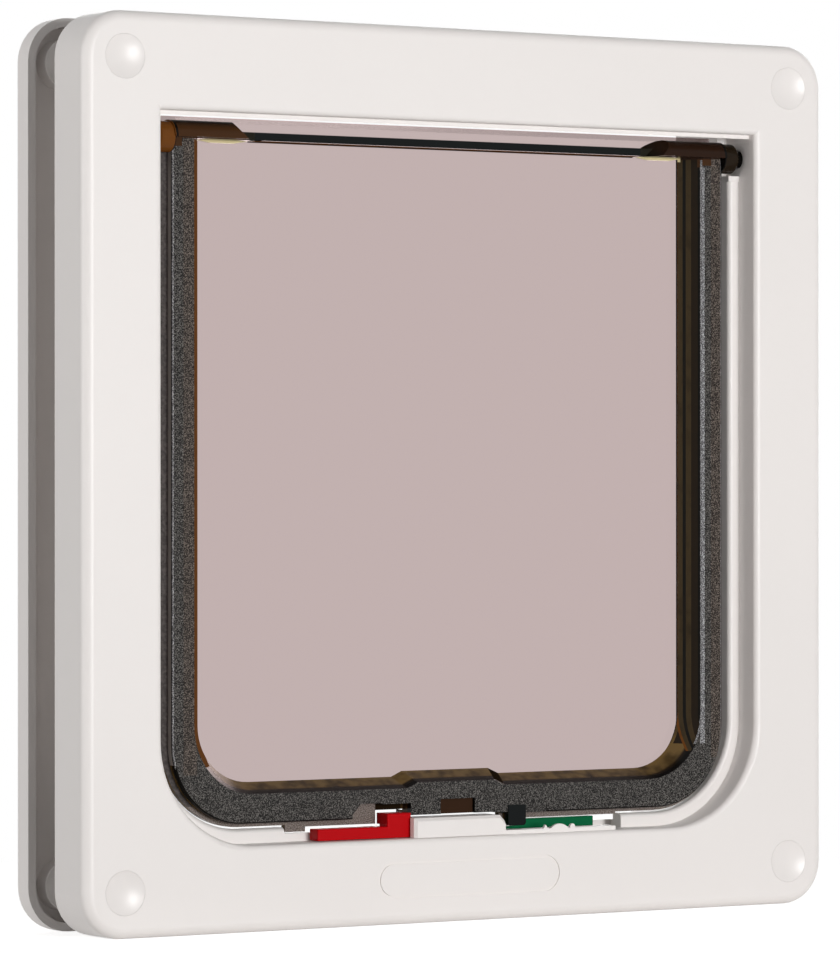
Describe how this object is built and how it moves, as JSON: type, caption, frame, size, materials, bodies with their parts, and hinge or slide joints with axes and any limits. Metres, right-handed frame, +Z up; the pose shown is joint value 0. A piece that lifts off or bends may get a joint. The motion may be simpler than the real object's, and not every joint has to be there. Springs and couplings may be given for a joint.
{
  "type": "cat flap",
  "caption": "Lockable pet door for a house door: a tinted swinging flap with a magnet catch, in two white clamping frames with a telescopic tunnel.",
  "frame": {"origin": "centre of the object's width and depth, at the bottom edge of the two frames", "axes": "+Z up, -Y towards the room side (front), +Y outdoors, +X to the right seen from the room"},
  "size_m": [0.24, 0.039, 0.244],
  "materials": {
    "inner_frame": "satin",
    "outer_frame": "satin",
    "lock_cover": "satin",
    "screw_cap": "satin",
    "flap": "tinted, clear window",
    "inward_lock_slider": "gloss",
    "outward_lock_slider": "satin",
    "flap_magnet": "plated",
    "sill_magnet": "plated",
    "fixing_screw": "zinc plated"
  },
  "bodies": {
    "frame": {"inner_frame": "inner_frame", "outer_frame": "outer_frame", "lock_cover": "lock_cover", "sill_magnet": "sill_magnet", "fixing_screw_1": "fixing_screw", "fixing_screw_2": "fixing_screw", "fixing_screw_3": "fixing_screw", "fixing_screw_4": "fixing_screw", "screw_cap_1": "screw_cap", "screw_cap_2": "screw_cap", "screw_cap_3": "screw_cap", "screw_cap_4": "screw_cap"},
    "flap_body": {"flap": "flap", "flap_magnet": "flap_magnet"},
    "inward_slider": {"inward_lock_slider": "inward_lock_slider"},
    "outward_slider": {"outward_lock_slider": "outward_lock_slider"}
  },
  "joints": [
    {"name": "flap_swing", "type": "hinge", "parent": "frame", "child": "flap_body", "pos_m": [0, -0.0105, 0.2117], "axis": [1, 0, 0], "range_deg": [-85, 85]},
    {"name": "inward_lock_slide", "type": "slide", "parent": "frame", "child": "inward_slider", "axis": [-1, 0, 0], "range_m": [0, 0.0086]},
    {"name": "outward_lock_slide", "type": "slide", "parent": "frame", "child": "outward_slider", "axis": [1, 0, 0], "range_m": [0, 0.008]}
  ]
}
